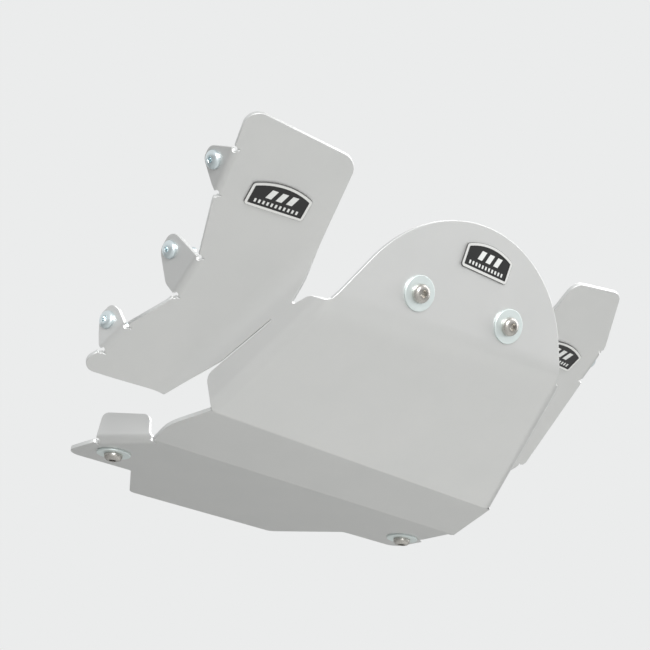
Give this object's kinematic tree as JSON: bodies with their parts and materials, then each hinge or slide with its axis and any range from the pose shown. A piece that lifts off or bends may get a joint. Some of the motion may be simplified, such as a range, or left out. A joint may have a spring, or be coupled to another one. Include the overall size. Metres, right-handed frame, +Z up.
{
  "type": "motorcycle skid plate",
  "caption": "Folded aluminium skid plate with a round tongue, side flanges and wings with screw tabs, held by screws with washers.",
  "frame": {"origin": "middle of the belly's front fold, at the outer (lower) face of the belly", "axes": "+X forwards, +Y to the left of the motorcycle, +Z up; the belly lies flat in XY"},
  "size_m": [0.3401, 0.4129, 0.1702],
  "materials": {
    "sheet": "satin anodised sheet",
    "washer": "bright zinc",
    "screw": "zinc plated",
    "badge": "black with a pale rim and pale bars"
  },
  "bodies": {
    "root": {"skid_plate": "sheet", "front_washer_right": "washer", "front_washer_left": "washer", "front_screw_right": "screw", "front_screw_left": "screw", "rear_washer_right": "washer", "rear_washer_left": "washer", "rear_screw_right": "screw", "rear_screw_left": "screw", "wing_screw_right_upper": "screw", "wing_screw_right_middle": "screw", "wing_screw_right_lower": "screw", "wing_screw_left_upper": "screw", "wing_screw_left_lower": "screw", "badge_front": "badge", "badge_right": "badge", "badge_left": "badge"}
  },
  "joints": []
}
